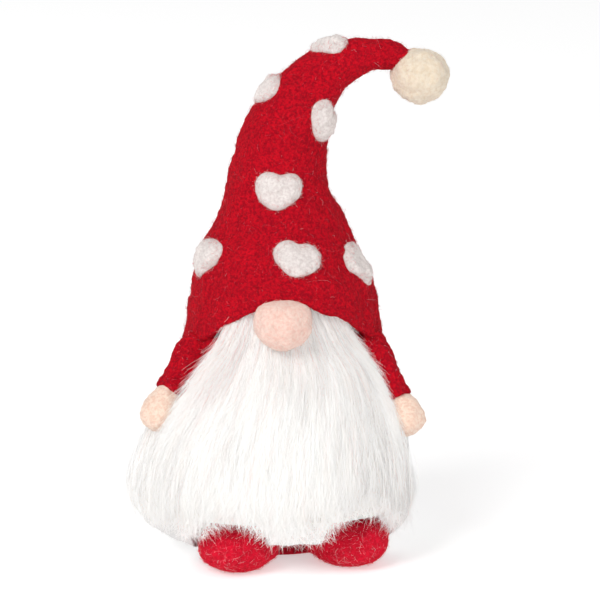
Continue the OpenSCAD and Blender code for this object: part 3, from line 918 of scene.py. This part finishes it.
class GNOME_OT_stage(Operator):
    """Make the floor, the soft lights and the camera"""

    bl_idname = "gnome.stage"
    bl_label = "Stage"

    def execute(self, context):
        scene = context.scene
        mesh = bpy.data.meshes.new("floor")
        corners = [(-6, -6, 0), (6, -6, 0), (6, 6, 0), (-6, 6, 0)]
        mesh.from_pydata(corners, [], [(0, 1, 2, 3)])
        floor = add_object("floor", mesh)
        paper, _ = principled("Floor paper", Base_Color=(0.7, 0.7, 0.7, 1), Roughness=1.0,
            Specular_IOR_Level=0.0, Emission_Color=(1, 1, 1, 1), Emission_Strength=0.48)
        floor.data.materials.append(paper)
        scene.world = bpy.data.worlds.new("Studio")
        scene.world.use_nodes = True
        set_inputs(scene.world.node_tree.nodes["Background"], Color=(1, 1, 1, 1), Strength=0.5)
        target = Vector((0, 0, 0.09))
        for name, place, size, power in LIGHTS:
            light = bpy.data.lights.new(name, "AREA")
            light.size, light.energy = size, power
            look(add_object(name, light), Vector(place), target - Vector(place))
        azimuth, elevation, distance = math.radians(-5), math.radians(12), 1.5
        back = Vector((math.sin(azimuth) * math.cos(elevation),
            -math.cos(azimuth) * math.cos(elevation), math.sin(elevation)))
        right = Vector((math.cos(azimuth), math.sin(azimuth), 0))
        up = back.cross(right)
        aim = Vector((0, 0, 0.088)) + right * 0.00704 - up * 0.004
        camera = add_object("camera", bpy.data.cameras.new("camera"))
        look(camera, aim + back * distance, -back)
        camera.data.sensor_width = 36
        camera.data.lens = 36 * distance / 0.201
        scene.camera = camera
        scene.view_settings.view_transform = "Standard"
        return {"FINISHED"}


class GNOME_OT_body(Operator):
    """Felt the white body, the pad it stands on and the red roll round the neck"""

    bl_idname = "gnome.body"
    bl_label = "Body"

    def execute(self, context):
        felt_piece("body", body_grid(), "figure", "white_felt", "White felt", 0.85,
            ("White fibre", "Shade fibre"), [0.7, 0.3], 5200, 12, (1.0, 3.5), (0.05, 0.5), 0.5, 40,
            node="body_coat", keep=lambda p: p[..., 2] < 70)
        felt_piece("base_pad", pad_grid(), "figure", "red_felt", "Dark red felt", 0.9, RED_FIBRES,
            [0.5, 0.4, 0.08, 0.02], 1200, 22, (1.0, 4.5), (0.0, 0.5), 0.6,
            keep=lambda p: (p[..., 2] > 0.4) * (0.1 + ease(-8, -14, p[..., 1])))
        felt_piece("neck_collar", collar_grid(), "figure", "red_felt", "Red felt", 0.8, RED_FIBRES,
            [0.5, 0.25, 0.15, 0.1], 600, 32, (1.0, 3.5), (0.05, 0.6), 0.6)
        return {"FINISHED"}


class GNOME_OT_feet(Operator):
    """Felt the two feet"""

    bl_idname = "gnome.feet"
    bl_label = "Feet"

    def execute(self, context):
        for side, name in SIDES:
            felt_piece(f"foot_{name}", foot_grid(side, FOOT_AT[name]), "figure", "red_felt", "Foot felt",
                0.9, ("Foot fibre", "Foot pink", "Foot white"), [0.66, 0.26, 0.08], 4200, 44 + side,
                (0.8, 3.4), (0.0, 0.5), 0.7, 14, keep=lambda p: 0.15 + ease(-16, -24, p[..., 1]))
        return {"FINISHED"}


class GNOME_OT_hat(Operator):
    """Felt the tall curled hat and pull loose fibres out of it"""

    bl_idname = "gnome.hat"
    bl_label = "Hat"

    def execute(self, context):
        grid = felted(hat_grid(), HAT_SEED, size_mm("hat_lumps"), HAT_FINE, *HAT_SIZES)
        hat = finish_piece(skin("hat_felt", grid), None, ["hat", "hat_tip"], [felt("Red felt")])
        outer = grid[26:]
        short = add_fuzz("hat_fuzz", outer, None, "red_felt", RED_FIBRES, [0.64, 0.31, 0.04, 0.01], 13800,
            53, (0.6, 2.8), (0.02, 0.8), 0.6)
        long = add_fuzz("hat_long_fibres", outer, None, "red_felt", RED_FIBRES, [0.4, 0.25, 0.3, 0.05], 480,
            54, (3.0, size_mm("hair_length") + 2), (0.02, 0.25), 1.0, 16, thick=0.042, steps=5)
        for piece in (hat, short, long):
            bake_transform(piece)
        return {"FINISHED"}


class GNOME_OT_hearts(Operator):
    """Felt the puffy hearts onto the hat"""

    bl_idname = "gnome.hearts"
    bl_label = "Hearts"

    def execute(self, context):
        for i, (name, at) in enumerate(HEARTS.items()):
            grid = heart_grid(at, 60 + i, 0.34 if name in FULL_HEARTS else 0.0)
            felt_piece(f"heart_{name}", grid, "figure", "white_felt", "Heart felt", 0.7,
                ("Heart fibre", "Heart pink fibre", "Red fibre"), [0.68, 0.1, 0.22], 450 if "back" in name
                else 1300, 90 + i, (0.5, 2.0), (0.0, 0.55), 0.7, 14, thick=0.07, rings=slice(1, 14))
        return {"FINISHED"}


class GNOME_OT_balls(Operator):
    """Roll the nose and the ball on the hat's tip"""

    bl_idname = "gnome.balls"
    bl_label = "Nose and wool ball"

    def execute(self, context):
        grid = felted(ball(NOSE_AT, (9.6, 9.5, 9.6)), 71, 0.16, 0.08, 7, 2.2)
        # The brim presses on the top of the nose.
        grid[..., 2] -= 0.048 * np.maximum(grid[..., 2] - 86, 0) ** 2
        felt_piece("nose", grid, "figure", "skin_wool", "Nose felt", 1.0, ("Nose fibre", "Nose pale fibre"),
            [0.65, 0.35], 2000, 72, (0.6, 2.4), (0.0, 0.55), 0.6, 9.5, thick=0.08)
        low, high = (np.array(corner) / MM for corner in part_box("pompom"))
        grid = ball((low + high) / 2, (high - low) / 2 * [0.965, 0.965, 0.92])
        felt_piece("pompom", felted(grid, 73, 0.22, 0.1, 6.5, 2.2), "hat_end", "cream_wool", "Ball felt",
            1.0, ("Cream fibre", "Cream pale fibre", "Pink fibre"), [0.6, 0.36, 0.04], 2100, 74, (0.6, 2.8),
            (0.0, 0.55), 0.6, 10, thick=0.06)
        return {"FINISHED"}


class GNOME_OT_arms(Operator):
    """Felt the sleeves and the hands"""

    bl_idname = "gnome.arms"
    bl_label = "Arms"

    def execute(self, context):
        for side, name in SIDES:
            arm = f"arm_{name}"
            way, cuff, length, wide = ARMS[name]
            sleeve = smooth([*SLEEVE_PROFILE, (5.7, cuff - 1), (5.0, cuff), (2.5, cuff - 0.1),
                (0.3, cuff - 0.3)], 200)
            grid = felted(along_arm(even(sleeve, 60), 96, side, way), 80 + side, 0.28, 0.12, 7)
            felt_piece(f"sleeve_{name}", grid, arm, "red_felt", "Red felt", 0.8, RED_FIBRES,
                [0.58, 0.3, 0.08, 0.04], 1600, 83 + side, (0.7, 2.8), (0.05, 0.6), 0.6, 8)
            palm = smooth(np.array(PALM_PROFILE) * [wide, length] + [0, cuff], 200)
            grid = felted(along_arm(even(palm, 60), 92, side, way), 86 + side, 0.16, 0.07, 7, 2.2)
            felt_piece(f"hand_{name}", grid, arm, "skin_wool", "Hand felt", 1.0,
                ("Hand fibre", "Hand pale fibre"), [0.65, 0.35], 1000, 89 + side, (0.5, 1.9), (0.0, 0.4),
                0.6, 6, thick=0.055)
        return {"FINISHED"}


class GNOME_OT_beard(Operator):
    """Comb the long beard from locks of fine hairs over a felted underlayer"""

    bl_idname = "gnome.beard"
    bl_label = "Beard"

    def execute(self, context):
        wool = surface_material("Combed wool", "Combed Wool", 0.25, sheen=0.3, Colour=rgba("beard"),
            Shade_Colour=(0.8, 0.79, 0.77, 1), Streak_Width=0.35)
        # Each kind of hair glows a little: painted light.
        hairs = [fibre_material(name, rgba(colour), 0.3, glow)
            for name, (colour, glow) in BEARD_HAIRS.items()]

        def add_part(obj, materials):
            finish_piece(obj, "figure", "beard_fleece", materials)

        add_part(skin("beard_underlayer", underlayer_grid()), [wool])
        rng = np.random.default_rng(101)
        count, parts = context.scene.gnome_sizes.beard_hairs, 5
        paths, thick = combed_hairs(rng, count)
        slots = hair_kinds(rng, paths)
        radii = taper(count, paths.shape[1] - 1, size_mm("beard_hair_thick"), rng, 0.7, 0.25)
        radii *= thick[:, None]
        for k in range(parts):
            mine = slice(k, None, parts)
            add_part(strands(f"beard_locks_{k + 1}", paths[mine], radii[mine], slots[mine], rng), hairs)
        steps = 7
        paths = np.concatenate([stray_hairs(rng, 1700, steps), fringe_hairs(rng, 2500, steps)])
        paths[..., 2] = np.maximum(paths[..., 2], 0.3)
        slots = rng.choice(4, len(paths), p=[0.66, 0.2, 0.1, 0.04])
        radii = taper(len(paths), steps - 1, 0.11, rng, 0.8, 0.3)
        add_part(strands("beard_wisps", paths, radii, slots, rng), hairs)
        return {"FINISHED"}


class GNOME_OT_inside(Operator):
    """Give the hidden pieces their wool, strip and thread"""

    bl_idname = "gnome.inside"
    bl_label = "Inside pieces"

    def execute(self, context):
        core = felt("Core wool")
        thread = surface_material("Thread", "Combed Wool", 0.1, roughness=0.7, sheen=0.1,
            Colour=(0.85, 0.84, 0.82, 1), Shade_Colour=(0.6, 0.58, 0.56, 1), Streak_Width=0.3)
        for node, mat in {"body_core": core, "hat_filling": core, "beard_backing": felt("Strip felt"),
                "shoulder_tie_left": thread, "shoulder_tie_right": thread}.items():
            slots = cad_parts[node].material_slots
            if not slots:
                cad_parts[node].data.materials.append(mat)
            for slot in slots:
                slot.material = mat
        return {"FINISHED"}


MAKERS = (GNOME_OT_stage, GNOME_OT_body, GNOME_OT_feet, GNOME_OT_hat, GNOME_OT_hearts, GNOME_OT_balls,
    GNOME_OT_arms, GNOME_OT_beard, GNOME_OT_inside)


class GNOME_PT_panel(Panel):
    """Sizes, colours and a button for each piece"""

    bl_label = "Felted Gnome"
    bl_space_type = "VIEW_3D"
    bl_region_type = "UI"
    bl_category = "Gnome"

    def draw(self, context):
        for group in (context.scene.gnome_sizes, context.scene.gnome_colours):
            for key in group.bl_rna.properties.keys():
                if key not in {"rna_type", "name"}:
                    self.layout.prop(group, key)
        for maker in MAKERS:
            self.layout.operator(maker.bl_idname)


CLASSES = (GnomeSizes, GnomeColours, *MAKERS, GNOME_PT_panel)


def register():
    for cls in CLASSES:
        bpy.utils.register_class(cls)
    bpy.types.Scene.gnome_sizes = PointerProperty(type=GnomeSizes)
    bpy.types.Scene.gnome_colours = PointerProperty(type=GnomeColours)


def unregister():
    del bpy.types.Scene.gnome_colours
    del bpy.types.Scene.gnome_sizes
    for cls in reversed(CLASSES):
        bpy.utils.unregister_class(cls)


def main():
    register()
    for maker in MAKERS:
        group, name = maker.bl_idname.split(".")
        getattr(getattr(bpy.ops, group), name)()
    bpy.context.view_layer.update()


if __name__ == "__main__":
    main()
